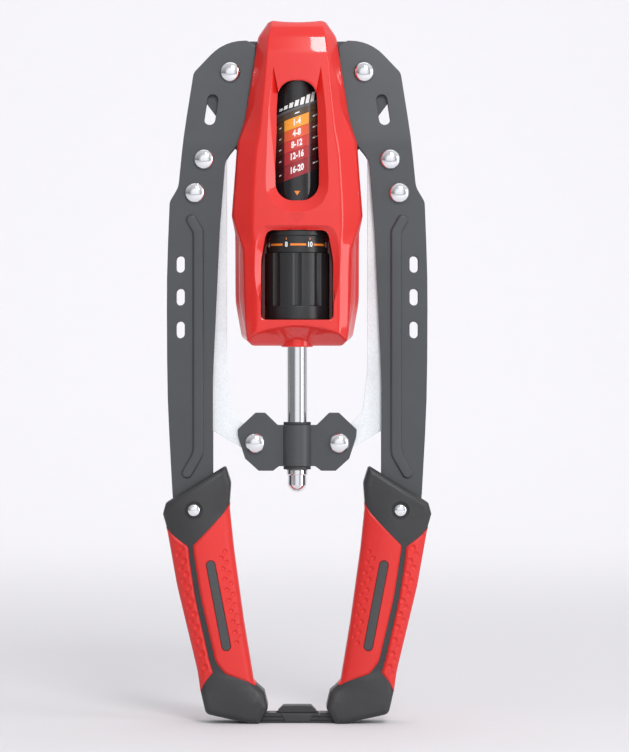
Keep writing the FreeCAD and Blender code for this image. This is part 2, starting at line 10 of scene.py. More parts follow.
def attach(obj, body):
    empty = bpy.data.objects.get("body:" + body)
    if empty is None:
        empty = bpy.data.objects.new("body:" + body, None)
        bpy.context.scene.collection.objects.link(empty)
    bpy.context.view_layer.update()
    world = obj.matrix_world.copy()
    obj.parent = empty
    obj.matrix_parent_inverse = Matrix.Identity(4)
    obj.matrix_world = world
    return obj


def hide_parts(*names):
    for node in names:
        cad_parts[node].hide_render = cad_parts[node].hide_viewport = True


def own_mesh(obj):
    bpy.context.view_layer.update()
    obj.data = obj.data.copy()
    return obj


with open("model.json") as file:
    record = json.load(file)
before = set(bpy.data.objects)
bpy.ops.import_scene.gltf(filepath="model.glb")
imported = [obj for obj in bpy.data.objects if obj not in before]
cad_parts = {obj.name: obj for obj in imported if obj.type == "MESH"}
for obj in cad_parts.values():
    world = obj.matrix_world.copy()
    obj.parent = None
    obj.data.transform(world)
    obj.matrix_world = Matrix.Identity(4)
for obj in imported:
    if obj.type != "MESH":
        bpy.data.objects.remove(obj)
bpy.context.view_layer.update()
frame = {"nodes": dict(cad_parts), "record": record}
scene = bpy.context.scene
MM = 0.001

# ---- outlines in the XZ plane: (x, z, corner radius), anticlockwise --------------------------


def symmetric(right_half):
    return right_half + [(-x, z, r) for x, z, r in reversed(right_half)]


ARM = [(52.0, 78.0, 6.0), (74.0, 78.0, 6.0), (92.2, 166.0, 60.0), (96.2, 240.0, 1100.0),
       (96.7, 330.0, 1100.0), (94.5, 386.0, 9.0), (88.0, 397.0, 16.0), (84.3, 434.0, 500.0),
       (76.8, 481.8, 8.0), (54.0, 505.8, 34.0), (37.3, 505.8, 1.5), (30.6, 501.8, 2.0),
       (34.0, 462.0, 20.0), (43.5, 429.3, 8.0), (53.2, 417.5, 18.0), (57.3, 365.0, 300.0),
       (62.4, 255.0, 400.0), (62.4, 150.0, 60.0)]
YOKE = symmetric([(22.0, 481.0, 4.0), (22.0, 446.0, 4.0), (40.0, 424.5, 3.0), (45.2, 424.5, 2.0),
                  (60.4, 450.1, 60.0), (70.5, 463.5, 8.0), (72.5, 480.0, 9.0),
                  (64.0, 491.0, 10.0), (36.5, 505.4, 3.0)])
LINK = [(23.0, 199.0, 7.5), (34.0, 199.0, 6.0), (42.2, 204.6, 20.0), (69.0, 220.3, 9.0),
        (69.0, 402.0, 4.0), (83.0, 409.0, 9.0), (83.0, 432.0, 13.0), (52.1, 432.0, 15.0),
        (52.1, 262.0, 60.0), (48.6, 230.0, 8.0), (36.0, 218.6, 12.0), (23.0, 216.0, 7.5)]
WING = [(9.0, 190.1, 0.5), (13.4, 190.1, 0.8), (17.8, 186.7, 1.0), (28.6, 186.7, 1.0),
        (38.6, 195.7, 2.0), (43.8, 211.8, 6.0), (44.2, 217.4, 2.0), (31.0, 229.8, 1.0),
        (23.8, 229.8, 1.0), (14.5, 220.7, 1.5), (9.0, 220.7, 0.5)]
HOUSING = symmetric([(33.6, 279.4, 2.5), (41.2, 286.2, 7.0), (45.8, 312.0, 60.0), (46.0, 362.5, 5.0),
                     (48.5, 375.5, 4.0), (44.3, 430.0, 6.0), (38.8, 447.0, 8.0),
                     (29.0, 508.0, 12.0), (21.0, 519.6, 3.0)])
HANDLE = [(35.0, 0.0, 1.5), (67.5, 7.2, 5.0), (71.0, 22.0, 10.0), (73.3, 38.5, 60.0),
          (88.6, 102.0, 90.0), (95.6, 141.5, 6.0), (99.4, 155.0, 3.0), (97.1, 163.2, 3.0),
          (53.0, 190.6, 1.5), (49.0, 178.0, 10.0), (50.4, 158.5, 6.0), (47.2, 128.0, 80.0),
          (40.0, 76.0, 100.0), (32.6, 31.0, 3.0), (24.3, 23.8, 3.0), (21.4, 11.5, 4.0),
          (25.6, 4.8, 4.0), (28.4, 0.0, 1.0)]
OUTER_PAD = [(75.0, 20.0, 1.0), (101.0, 147.0, 1.0), (80.8, 130.8, 4.5), (79.8, 120.0, 60.0),
             (75.6, 92.0, 200.0), (65.4, 47.0, 20.0), (62.6, 37.8, 3.0)]
INNER_PAD = [(31.4, 28.6, 1.5), (53.2, 37.2, 8.0), (60.0, 46.0, 12.0), (70.8, 92.0, 200.0),
             (75.4, 121.0, 60.0), (77.0, 131.8, 4.0), (48.4, 163.0, 3.0), (42.0, 150.0, 8.0),
             (41.0, 128.0, 60.0), (33.5, 76.0, 60.0), (28.6, 42.0, 8.0)]
PIVOT = (49.5, 482.4)
LINK_TOP = (68.9, 417.6)
ARM_SPACER = (75.6, 392.7)
LINK_FOOT = (31.2, 207.2)
HANDLE_PIN = (76.3, 157.8)


# ---- mesh helpers ----------------------------------------------------------------------------
def rounded(corners, inset=0.0, step=8.0):
    """Points of an anticlockwise outline moved inwards, with the same number of points at any inset."""
    points = []
    count = len(corners)
    moved = []
    for i, (x, z, radius) in enumerate(corners):
        here = Vector((x, z))
        a = (here - Vector(corners[i - 1][:2])).normalized()
        b = (Vector(corners[(i + 1) % count][:2]) - here).normalized()
        turn = math.atan2(a.x * b.y - a.y * b.x, a.dot(b))
        slide = inset * math.tan(0.5 * turn)
        spot = here + Vector((-a.y, a.x)) * inset - a * slide
        moved.append((spot, turn, max(radius - math.copysign(inset, turn), 0.3)))
    for i, (spot, turn, radius) in enumerate(moved):
        a = (spot - moved[i - 1][0]).normalized()
        reach = radius * math.tan(0.5 * abs(turn))
        centre = spot - a * reach + Vector((-a.y, a.x)) * math.copysign(radius, turn)
        first = spot - a * reach - centre
        steps = max(2, math.ceil(math.degrees(abs(turn)) / step))
        for k in range(steps + 1):
            spun = Matrix.Rotation(turn * k / steps, 2) @ first
            points.append(tuple(centre + spun))
    return points


def outline_loop(corners):
    return lambda inset: rounded(corners, inset)


def hole_loop(x, z, radius, steps=40):
    def points(inset):
        turns = [2 * math.pi * k / steps for k in range(steps)]
        return [(x + (radius + inset) * math.cos(t), z - (radius + inset) * math.sin(t)) for t in turns]
    return points


def capsule_loop(a, b, radius, steps=12):
    """Round-ended slot from a to b, as a hole; a negative inset of its radius makes it smaller."""
    def points(inset):
        r = radius + inset
        start = math.atan2(b[1] - a[1], b[0] - a[0]) + 0.5 * math.pi
        out = []
        for k in range(2 * steps + 2):
            end = a if k <= steps else b
            turn = start + math.pi * (k if k <= steps else k - 1) / steps
            out.append((end[0] + r * math.cos(turn), end[1] + r * math.sin(turn)))
        return out
    return points


def bridge(bm, low, high):
    """Faces between two rings; a ring of one point is a tip."""
    if len(low) == 1 or len(high) == 1:
        tip, ring = (low[0], high) if len(low) == 1 else (high[0], low)
        for a, b in zip(ring, ring[1:] + ring[:1]):
            bm.faces.new((tip, a, b))
        return
    for i in range(len(low)):
        j = (i + 1) % len(low)
        bm.faces.new((low[i], low[j], high[j], high[i]))


def loft(rings):
    """Solid through rings of points, with a flat face at both ends."""
    bm = bmesh.new()
    rings = [[bm.verts.new(point) for point in ring] for ring in rings]
    for low, high in zip(rings, rings[1:]):
        bridge(bm, low, high)
    bm.faces.new(rings[0])
    bm.faces.new(rings[-1])
    return bm


def triangulated(bm, fewest=3):
    """Cut faces with at least so many sides into triangles, and turn all faces outwards."""
    bm.normal_update()            # a concave face is cut wrongly while its normal is unknown
    bmesh.ops.triangulate(bm, faces=[f for f in bm.faces if len(f.verts) >= fewest])
    bmesh.ops.recalc_face_normals(bm, faces=bm.faces)
    return bm


def close_ends(bm):
    """Fill every flat open rim and turn all faces outwards."""
    bmesh.ops.remove_doubles(bm, verts=bm.verts, dist=0.002)
    heights = {round(e.verts[0].co.y, 3) for e in bm.edges if e.is_boundary}
    for y in sorted(heights):
        rim = [e for e in bm.edges if e.is_boundary and abs(e.verts[0].co.y - y) < 0.002]
        bmesh.ops.triangle_fill(bm, use_beauty=True, use_dissolve=False, edges=rim,
                                normal=Vector((0, -1, 0)))
    bmesh.ops.recalc_face_normals(bm, faces=bm.faces)
    return bm


def stack(loops, profile):
    """Closed solid between the first and last (inset, y) of a profile, with the same loops at each."""
    bm = bmesh.new()
    for loop in loops:
        rings = [[bm.verts.new((x, y, z)) for x, z in loop(inset)] for inset, y in profile]
        for low, high in zip(rings, rings[1:]):
            bridge(bm, low, high)
    return close_ends(bm)


def soft_edges(y0, y1, radius, steps=2):
    """Profile of a sheet from y0 to y1 whose two edges are rounded."""
    turns = [0.5 * math.pi * k / steps for k in range(steps + 1)]
    near = [(radius * (1 - math.sin(t)), y0 + radius * (1 - math.cos(t))) for t in turns]
    return near + [(inset, y0 + y1 - y) for inset, y in reversed(near)]


def lathe(points, steps=72, closed=False):
    """Turned solid about Z from (radius, z) points; closed joins the last point to the first."""
    bm = bmesh.new()
    rings = []
    for radius, z in points:
        turns = [0.0] if radius == 0 else [2 * math.pi * k / steps for k in range(steps)]
        rings.append([bm.verts.new((radius * math.cos(t), radius * math.sin(t), z)) for t in turns])
    for low, high in zip(rings, rings[1:] + (rings[:1] if closed else [])):
        bridge(bm, low, high)
    bmesh.ops.recalc_face_normals(bm, faces=bm.faces)
    return bm


def block(x0, x1, y0, y1, z0, z1):
    bm = bmesh.new()
    bmesh.ops.create_cube(bm, size=1.0)
    for v in bm.verts:
        v.co = ((x0 + x1) / 2 + v.co.x * (x1 - x0), (y0 + y1) / 2 + v.co.y * (y1 - y0),
                (z0 + z1) / 2 + v.co.z * (z1 - z0))
    return bm


def join(parts):
    whole = parts[0]
    for part in parts[1:]:
        mesh = bpy.data.meshes.new("joined")
        part.to_mesh(mesh)
        whole.from_mesh(mesh)
        bpy.data.meshes.remove(mesh)
        part.free()
    return whole


def mirror_x(bm):
    other = bm.copy()
    for v in other.verts:
        v.co.x = -v.co.x
    bmesh.ops.reverse_faces(other, faces=other.faces)
    return other


def mirror_y(bm):
    other = bm.copy()
    for v in other.verts:
        v.co.y = -v.co.y
    bmesh.ops.reverse_faces(other, faces=other.faces)
    return other


def turn_to_y(bm, x, z):
    """Move a solid that was turned about Z so that its axis runs along Y through (x, z)."""
    bmesh.ops.rotate(bm, matrix=Matrix.Rotation(math.radians(-90), 3, "X"), verts=bm.verts)
    bmesh.ops.translate(bm, vec=(x, 0, z), verts=bm.verts)
    return bm


def combine(bm, tools, operation="DIFFERENCE"):
    """Boolean of a closed solid with each of the tools in turn."""
    objects = []
    for part in [bm] + tools:
        mesh = bpy.data.meshes.new("tool")
        part.to_mesh(mesh)
        part.free()
        objects.append(bpy.data.objects.new("tool", mesh))
        scene.collection.objects.link(objects[-1])
    for tool in objects[1:]:
        cut = objects[0].modifiers.new("cut", "BOOLEAN")
        cut.object = tool
        cut.operation = operation
        cut.solver = "MANIFOLD"
    depsgraph = bpy.context.evaluated_depsgraph_get()
    mesh = bpy.data.meshes.new_from_object(objects[0].evaluated_get(depsgraph))
    result = bmesh.new()
    result.from_mesh(mesh)
    bpy.data.meshes.remove(mesh)
    for obj in objects:
        bpy.data.meshes.remove(obj.data)
    return result


def make(name, bm, look, body, nodes=(), sharp=30.0):
    """Turn a solid in mm into an object of the scene that rides on a body."""
    bmesh.ops.remove_doubles(bm, verts=bm.verts, dist=0.0005)
    bmesh.ops.scale(bm, vec=(MM, MM, MM), verts=bm.verts)
    mesh = bpy.data.meshes.new(name)
    bm.to_mesh(mesh)
    bm.free()
    mesh.shade_smooth()
    mesh.set_sharp_from_angle(angle=math.radians(sharp))
    mesh.materials.append(look)
    obj = bpy.data.objects.new(name, mesh)
    scene.collection.objects.link(obj)
    normals = obj.modifiers.new("normals", "WEIGHTED_NORMAL")
    normals.keep_sharp = True
    normals.weight = 50
    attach(obj, body)
    if nodes:
        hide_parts(*nodes)
    return obj


# ---- materials -------------------------------------------------------------------------------
def node(tree, kind, inputs=(), **settings):
    made = tree.nodes.new(kind)
    for key, value in settings.items():
        setattr(made, key, value)
    for key, value in inputs:
        if isinstance(value, bpy.types.NodeSocket):
            tree.links.new(value, made.inputs[key])
        else:
            made.inputs[key].default_value = value
    return made


def material(name, color, roughness, metallic=0.0, coat=0.0, coat_roughness=0.05, grain=400.0,
             bump=0.0, depth=0.1, shade=0.1, rough_spread=0.05, stretch=(1, 1, 1), specular=0.5):
    """Surface with fine grain in its relief and slow changes of colour and roughness."""
    made = bpy.data.materials.new(name)
    made.use_nodes = True
    made.diffuse_color = (*color, 1.0)
    tree = made.node_tree
    shader = tree.nodes["Principled BSDF"]
    shader.inputs["Metallic"].default_value = metallic
    shader.inputs["Coat Weight"].default_value = coat
    shader.inputs["Coat Roughness"].default_value = coat_roughness
    shader.inputs["Specular IOR Level"].default_value = specular
    place = node(tree, "ShaderNodeTexCoord").outputs["Object"]
    place = node(tree, "ShaderNodeMapping", [("Vector", place), ("Scale", stretch)]).outputs[0]
    slow = node(tree, "ShaderNodeTexNoise", [("Vector", place), ("Scale", 28.0), ("Detail", 4.0)])
    fine = node(tree, "ShaderNodeTexNoise", [("Vector", place), ("Scale", grain), ("Detail", 3.0)])
    mix = node(tree, "ShaderNodeMath", [(0, slow.outputs[0]), (1, fine.outputs[0])], operation="ADD")
    dark = tuple(c * (1 - shade) for c in color)
    light = tuple(min(c * (1 + shade), 1.0) for c in color)
    tone = node(tree, "ShaderNodeMapRange", [("Value", mix.outputs[0]), ("From Min", 0.75),
                                             ("From Max", 1.25)])
    paint = node(tree, "ShaderNodeMix", [("Factor", tone.outputs[0])], data_type="RGBA")
    paint.inputs["A"].default_value = (*dark, 1.0)
    paint.inputs["B"].default_value = (*light, 1.0)
    tree.links.new(paint.outputs["Result"], shader.inputs["Base Color"])
    polish = node(tree, "ShaderNodeMapRange", [
        ("Value", mix.outputs[0]), ("From Min", 0.7), ("From Max", 1.3),
        ("To Min", max(roughness - rough_spread, 0.02)), ("To Max", roughness + rough_spread)])
    tree.links.new(polish.outputs[0], shader.inputs["Roughness"])
    if bump:
        relief = node(tree, "ShaderNodeBump", [("Height", fine.outputs[0]), ("Strength", bump),
                                               ("Distance", depth * MM)])
        tree.links.new(relief.outputs[0], shader.inputs["Normal"])
    return made


RED = material("red_shell", (0.72, 0.018, 0.013), 0.3, coat=0.9, coat_roughness=0.04, grain=60.0, shade=0.02,
               rough_spread=0.01, specular=0.25)
STEEL = material("powder_coat", (0.056, 0.061, 0.067), 0.38, grain=1400.0, bump=0.35, depth=0.05, shade=0.06)
LINK_STEEL = material("link_plate", (0.80, 0.83, 0.85), 0.42, metallic=0.3, grain=900.0, bump=0.3, shade=0.08)
CHROME = material("chrome", (0.86, 0.87, 0.89), 0.07, metallic=1.0, shade=0.01, rough_spread=0.02)
ZINC = material("zinc", (0.56, 0.57, 0.59), 0.3, metallic=1.0, grain=700.0, bump=0.15, shade=0.05)
ALUMINIUM = material("aluminium", (0.62, 0.63, 0.64), 0.32, metallic=1.0, grain=500.0, stretch=(1, 1, 14),
                     shade=0.05)
SPRING = material("spring_wire", (0.5, 0.5, 0.52), 0.25, metallic=1.0, grain=900.0)
BRASS = material("brass", (0.72, 0.52, 0.22), 0.3, metallic=1.0, grain=500.0)
BLACK = material("black_plastic", (0.032, 0.033, 0.035), 0.46, grain=1100.0, bump=0.55, depth=0.12,
                 shade=0.15)
KNOB_BLACK = material("knob_plastic", (0.019, 0.020, 0.021), 0.36, grain=1500.0, bump=0.2, depth=0.06,
                      shade=0.1)
RED_RUBBER = material("red_rubber", (0.70, 0.022, 0.018), 0.45, grain=1300.0, bump=0.25, depth=0.06,
                      shade=0.04)
DARK_RUBBER = material("dark_rubber", (0.055, 0.058, 0.06), 0.6, grain=1300.0, bump=0.4, shade=0.12)
SEAL = material("seal_rubber", (0.02, 0.02, 0.02), 0.45, grain=600.0, shade=0.1)
FILM = material("label_black", (0.012, 0.012, 0.013), 0.22, coat=0.3, shade=0.08)
WHITE_INK = material("ink_white", (0.83, 0.83, 0.82), 0.35, shade=0.02)
GREY_INK = material("ink_grey", (0.11, 0.11, 0.115), 0.3, shade=0.04)
ORANGE_INK = material("ink_orange", (0.87, 0.24, 0.03), 0.32, shade=0.03)

LOOKS = {"powder_coated_steel": STEEL, "link_steel": LINK_STEEL, "chrome": CHROME, "zinc_steel": ZINC,
         "aluminium": ALUMINIUM, "spring_steel": SPRING, "brass": BRASS, "red_shell": RED,
         "black_plastic": BLACK, "red_rubber": RED_RUBBER, "black_rubber": DARK_RUBBER,
         "seal_rubber": SEAL, "scale_print": FILM}
for part in frame["record"]["subparts"]:
    for slot in frame["nodes"][part["node"]].material_slots:
        slot.material = LOOKS[part["material_slot"]]


# ---- housing ---------------------------------------------------------------------------------
HOUSING_FOOT = 279.4
HOUSING_EDGE = 0.9           # how far the housing's top and bottom edges pull in
FACE_EDGE = [(279, 33), (287, 31), (298, 30.4), (331, 30.8), (350, 31.5), (365, 33.2), (385, 32.8),
             (399, 32.1), (420, 30.8), (439, 27.6), (456, 25.9), (473, 24.2), (490, 22.8),
             (505, 21.5), (520, 18.5)]
FACET_EDGE = [(279, 36.5), (287, 37.3), (298, 38), (331, 38.4), (350, 39), (364, 44.5),
              (376, 47), (430, 43), (447, 37.5), (473, 34), (508, 28), (520, 21)]
FACET_DEPTH = [(279, 19), (298, 21), (350, 21), (364, 14.5), (376, 13.5), (447, 13), (520, 11)]
RIM_DEPTH = [(279, 4.5), (350, 4.5), (366, 9), (376, 10), (447, 10), (520, 8)]
FACE_DEPTH = [(279, 27.2), (376, 27.2), (470, 25.8), (496, 25.2), (508, 22.6), (515, 18.6), (520, 13.5)]


def along(table, z, spread=1.6):
    """Value of a table of (z, value) rows, with its kinks rounded off."""
    total = 0.0
    for shift in (-spread, -0.5 * spread, 0.0, 0.5 * spread, spread):
        spot = min(max(z + shift, table[0][0]), table[-1][0])
        for (z0, v0), (z1, v1) in zip(table, table[1:]):
            if z0 <= spot <= z1:
                total += v0 + (v1 - v0) * (spot - z0) / (z1 - z0)
                break
    return total / 5


def soft_min(a, b, width):
    blend = max(width - abs(a - b), 0.0) / width
    return min(a, b) - 0.25 * width * blend * blend


def smooth(t):
    t = min(max(t, 0.0), 1.0)
    return t * t * (3 - 2 * t)


def face_depth(x, z):
    return along(FACE_DEPTH, z) - 0.0019 * x * x


def housing_depth(x, z, half_width):
    """How far the front of the housing stands before its middle plane."""
    x = abs(x)
    face = face_depth(x, z)
    x1 = along(FACE_EDGE, z)
    x2 = min(along(FACET_EDGE, z), half_width - 0.8)
    y1 = face_depth(x1, z)
    y2 = along(FACET_DEPTH, z)
    y3 = along(RIM_DEPTH, z)
    facet = y1 + (x - x1) * (y2 - y1) / max(x2 - x1, 1.0)
    side = y2 + (x - x2) * (y3 - y2) / max(half_width - x2, 0.8)
    depth = soft_min(soft_min(face, facet, 0.9), side, 1.2)
    foot = 5.0 + 1.5 * (z - HOUSING_FOOT) + 0.007 * x * x
    depth = soft_min(depth, foot, 1.4)
    across = (x - 30.8) * 0.914 + (z - 458.7) * 0.405
    notch = smooth(across / 1.6) * smooth((x - 30.5) / 8.0) * smooth((490.0 - z) / 40.0)
    groove = smooth((x - half_width + 3.5) / 0.5) * smooth((364.0 - z) / 10.0)
    groove *= smooth((z - 283.0) / 16.0)
    return depth - 1.5 * notch - 1.2 * groove


def side_rows(step=1.15):
    """(half width, z) down the housing's right side, evenly spaced along its outline."""
    right = [p for p in rounded(HOUSING, step=6.0) if p[0] > 0]
    rows = [right[0]]
    for a, b in zip(right, right[1:]):
        pieces = max(1, round(math.dist(a, b) / step))
        rows += [(a[0] + (b[0] - a[0]) * k / pieces, a[1] + (b[1] - a[1]) * k / pieces)
                 for k in range(1, pieces + 1)]
    return [row for i, row in enumerate(rows) if i == 0 or row[1] - rows[i - 1][1] > 0.02]


def housing_blank():
    """Closed solid of the housing's front half, before its openings are cut."""
    bm = bmesh.new()
    columns = 54
    spread = [1 - (1 - abs(k) / columns) ** 1.3 for k in range(-columns, columns + 1)]
    spread = [math.copysign(s, k) for s, k in zip(spread, range(-columns, columns + 1))]
    rows = side_rows()
    bottom, top = rows[0], rows[-1]
    rows = [(w, z, HOUSING_EDGE * (2 - smooth((z - bottom[1]) / 1.2) - smooth((top[1] - z) / 1.2)))
            for w, z in rows]
    rings = []
    for half_width, z, shrink in rows:
        wide = half_width - shrink
        dip = 1.15 * smooth((z - 512.0) / 7.0)
        ring = []
        for u in spread:
            x = u * wide
            low = z - dip * max(0.0, 1 - (x / 17.0) ** 2)
            ring.append((x, -(housing_depth(x, low, half_width) - shrink), low))
        rim = -ring[-1][1]
        walls = [rim * (1 - k / 4) for k in range(1, 4)] + [0.45]
        right = [(wide, -y, z) for y in walls] + [(wide - 0.45, 0.0, z)]
        left = [(-x, y, zz) for x, y, zz in reversed(right)]
        rings.append([bm.verts.new(p) for p in left + ring + right])
    for low, high in zip(rings, rings[1:]):
        for i in range(len(low) - 1):
            bm.faces.new((low[i], low[i + 1], high[i + 1], high[i]))
    for ring in (rings[0], rings[-1]):
        bm.faces.new(ring)
    back = [ring[0] for ring in rings] + [ring[-1] for ring in reversed(rings)]
    bm.faces.new(back)
    return triangulated(bm, 5)


def recess(rows, depth, steps=((0.55, -6.0), (0.55, 0.0), (0.0, 0.35))):
    """Tapered cutter: rows of (outer x, outer z, inner x, inner z), right half from bottom to top."""
    rows = rows + [(-a, b, -c, d) for a, b, c, d in reversed(rows)]
    rings = []
    for grow, sink in steps:
        ring = []
        for ox, oz, ix, iz in rows:
            out = Vector((ox, oz)) - Vector((ix, iz))
            out = out.normalized() * grow if out.length > 0.3 else Vector((0, 0))
            x, z = ox + out.x, oz + out.y
            ring.append((x, -face_depth(x, z) + sink, z))
        rings.append(ring)
    rings.append([(ix, -face_depth(ix, iz) + depth, iz) for ox, oz, ix, iz in rows])
    return triangulated(loft(rings))


def window(corners, floor_y):
    """Straight-sided cutter through the face, with a rounded lip."""
    lip = [(-0.9, -7.0), (-0.9, 0.0), (-0.45, 0.12), (-0.12, 0.45), (0.0, 0.9)]
    rings = [[(x, -face_depth(x, z) + sink, z) for x, z in rounded(corners, inset)] for inset, sink in lip]
    bm = loft(rings + [[(x, floor_y, z) for x, z in rounded(corners)]])
    bmesh.ops.remove_doubles(bm, verts=bm.verts, dist=0.002)
    return triangulated(bm)


LABEL_WINDOW = symmetric([(15.9, 386.3, 13.0), (16.2, 412.0, 60.0), (13.6, 474.6, 12.0)])
KNOB_WINDOW = symmetric([(26.6, 298.5, 4.0), (26.6, 342.0, 30.0), (22.6, 364.5, 6.0)])
LABEL_RECESS = [(4.0, 378.4, 3.0, 387.2), (9.0, 379.2, 6.5, 387.8), (14.0, 381.4, 10.5, 389.3),
                (18.5, 385.2, 13.8, 392.3), (22.3, 393.3, 16.0, 397.4), (22.6, 402.5, 16.0, 404.0),
                (20.6, 453.5, 14.9, 453.5), (17.4, 484.5, 13.9, 465.6), (13.6, 465.2, 13.4, 465.2)]
KNOB_RECESS = [(27.0, 311.0, 26.9, 311.6), (27.9, 315.5, 26.9, 315.5), (29.8, 322.0, 26.9, 322.0),
               (31.2, 331.0, 26.8, 330.0), (31.0, 342.0, 26.5, 340.0), (30.2, 352.0, 25.4, 348.5),
               (28.6, 361.0, 24.3, 359.0), (26.3, 365.0, 22.6, 362.6), (22.8, 367.3, 19.6, 364.9),
               (10.0, 367.6, 9.0, 364.9)]
SCREWS = [(14.5, 511.0), (37.0, 371.0), (32.5, 288.5)]


def cavity():
    """Room inside the housing, as one tapered block with a boss left round every screw."""
    middle = symmetric([(30.0, 283.6, 0), (38.6, 298.5, 0), (41.2, 362.0, 0), (43.0, 376.0, 0),
                        (39.6, 429.0, 0), (34.4, 446.0, 0), (25.6, 506.0, 0), (19.5, 514.6, 0)])
    face = symmetric([(26.0, 291.0, 0), (33.0, 300.0, 0), (33.6, 346.0, 0), (35.0, 376.0, 0),
                      (30.0, 430.0, 0), (25.6, 446.0, 0), (19.2, 501.0, 0), (14.8, 508.0, 0)])
    levels = ((middle, 1.0), (middle, -7.0), (face, -20.6))
    bm = triangulated(loft([[(x, y, z) for x, z, _ in corners] for corners, y in levels]))
    bosses = [turn_to_y(lathe([(0, -30), (4.4, -30), (4.4, 5), (0, 5)], 32), side * x, z)
              for x, z in SCREWS for side in (-1, 1)]
    return combine(bm, [join(bosses)])


def make_housing():
    blank = housing_blank()
    slot = block(19.8, 60, -8.6, 1, 423.0, 506.2)
    yoke_slot = block(-60, 60, -1.8, 1, 478.0, 506.2)
    rod_hole = lathe([(0, 270), (12.0, 270), (12.0, 290), (0, 290)], 64)
    knob_room = lathe([(0, 297.2), (25.0, 297.2), (25.0, 364.8), (0, 364.8)], 96)
    common = combine(blank, [cavity(), slot, mirror_x(slot.copy()), yoke_slot, rod_hole, knob_room])
    back = mirror_y(common)
    triangle = [outline_loop([(0.0, 369.6, 0.6), (5.3, 376.4, 0.6), (-5.3, 376.4, 0.6)]),
                outline_loop([(0.0, 370.8, 0.4), (4.0, 375.8, 0.4), (-4.0, 375.8, 0.4)])]
    front = combine(common, [recess(LABEL_RECESS, 5.2), window(LABEL_WINDOW, -12.0),
                             recess(KNOB_RECESS, 3.2), window(KNOB_WINDOW, -15.0),
                             combine(stack(triangle[:1], [(0, -30), (0, -26.5)]),
                                     [stack(triangle[1:], [(0, -31), (0, -25)])])])
    make("housing_front_shell", front, RED, "core", ["housing_front"], 28)
    sinks = [turn_to_y(lathe([(0, 9.0), (3.2, 9.0), (3.2, 40), (0, 40)], 40), side * x, z)
             for x, z in SCREWS for side in (-1, 1)]
    back = combine(back, [join(sinks)])
    make("housing_back_shell", back, RED, "core", ["housing_back"], 28)
    ferrule = lathe([(8.0, 278.5), (10.9, 278.4), (11.5, 278.6), (11.9, 279.2), (11.95, 286.0), (8.0, 286.0)],
                    72, closed=True)
    make("rod_ferrule_ring", ferrule, RED, "core", ["rod_ferrule"])


# ---- arms, yoke, links and slider --------------------------------------------------------------
def plate_pair(name, right, look, body, node):
    """The right piece and its mirror image on the left."""
    left = mirror_x(right)
    for side, bm in (("right", right), ("left", left)):
        make(side + "_" + name, bm, look, body.replace("SIDE", side), [node.replace("SIDE", side)])


def rib_blank():
    """Pressed rib with soft flanks, along the arm, standing on the front plate."""
    spine = [(78.2, 372.6), (73.3, 364.0), (73.3, 199.6), (81.6, 185.2)]
    half = 4.2
    left_side, right_side = [], []
    for i, here in enumerate(spine):
        here = Vector(here)
        before = (here - Vector(spine[i - 1])).normalized() if i else None
        after = (Vector(spine[i + 1]) - here).normalized() if i + 1 < len(spine) else None
        along_spine = ((before or after) + (after or before)).normalized()
        normal = Vector((-along_spine.y, along_spine.x))
        stretch = half / max(normal.dot(Vector((-(after or before).y, (after or before).x))), 0.2)
        tip = along_spine * half * (-1 if before is None else 1 if after is None else 0)
        left_side.append(here + normal * stretch + tip)
        right_side.append(here - normal * stretch + tip)
    corners = [(p.x, p.y, r) for p, r in zip(left_side, (4.1, 6, 14, 4.1))]
    corners += [(p.x, p.y, r) for p, r in zip(reversed(right_side), (4.1, 14, 6, 4.1))]
    return corners[::-1]


ARM_BEND_Z = 431.0           # above this an arm's two plates lean towards each other


def arm_plate(front):
    holes = [hole_loop(*PIVOT, 4.0), hole_loop(*LINK_TOP, 3.5), hole_loop(*ARM_SPACER, 3.5),
             capsule_loop((62.6, 461.6), (64.8, 447.2), 4.1)]
    holes += [capsule_loop((86.5, z - 3.0), (86.5, z + 3.0), 3.2) for z in (291.2, 315.5, 339.8)]
    sheet = stack([outline_loop(ARM)] + holes, soft_edges(-7.4, -5.4, 0.35))
    outline = rib_blank()
    rise = [(-0.3, -6.6), (-0.3, -7.3), (0.0, -7.5), (0.35, -7.95), (0.75, -8.5), (1.15, -8.9), (1.6, -9.05)]
    rib = stack([outline_loop(outline)], rise)
    sheet = combine(sheet, [rib], "UNION")
    for z in (ARM_BEND_Z - 3.0, ARM_BEND_Z, ARM_BEND_Z + 3.0):
        bmesh.ops.bisect_plane(sheet, geom=[*sheet.verts, *sheet.edges, *sheet.faces],
                               plane_co=(0, 0, z), plane_no=(0, 0, 1))
    slope = math.tan(math.radians(2.5))
    for v in sheet.verts:
        rise = max(v.co.z - ARM_BEND_Z, 0.0)
        soft = 0.35 if abs(v.co.z - ARM_BEND_Z) < 0.5 else 0.0
        v.co.y += (rise + soft) * slope
    return sheet if front else mirror_y(sheet)


def rivet_solid(x, z, face, head_r=7.6, head_h=4.6, shank_r=3.5, steps=56):
    """Domed rivet with a short cylindrical rim on both outside faces."""
    dome = [(0.0, 0.0)]
    for k in range(1, 13):
        turn = 0.5 * math.pi * k / 12
        dome.append((head_r * math.sin(turn) ** 0.93, (head_h - 0.7) * (1 - math.cos(turn) ** 0.9)))
    head = [(r, -face - head_h + drop) for r, drop in dome] + [(head_r, -face - 0.18), (head_r - 0.25, -face)]
    points = head + [(shank_r, -face)] + [(r, -z) for r, z in reversed(head + [(shank_r, -face)])]
    return turn_to_y(lathe(points, steps), x, z)


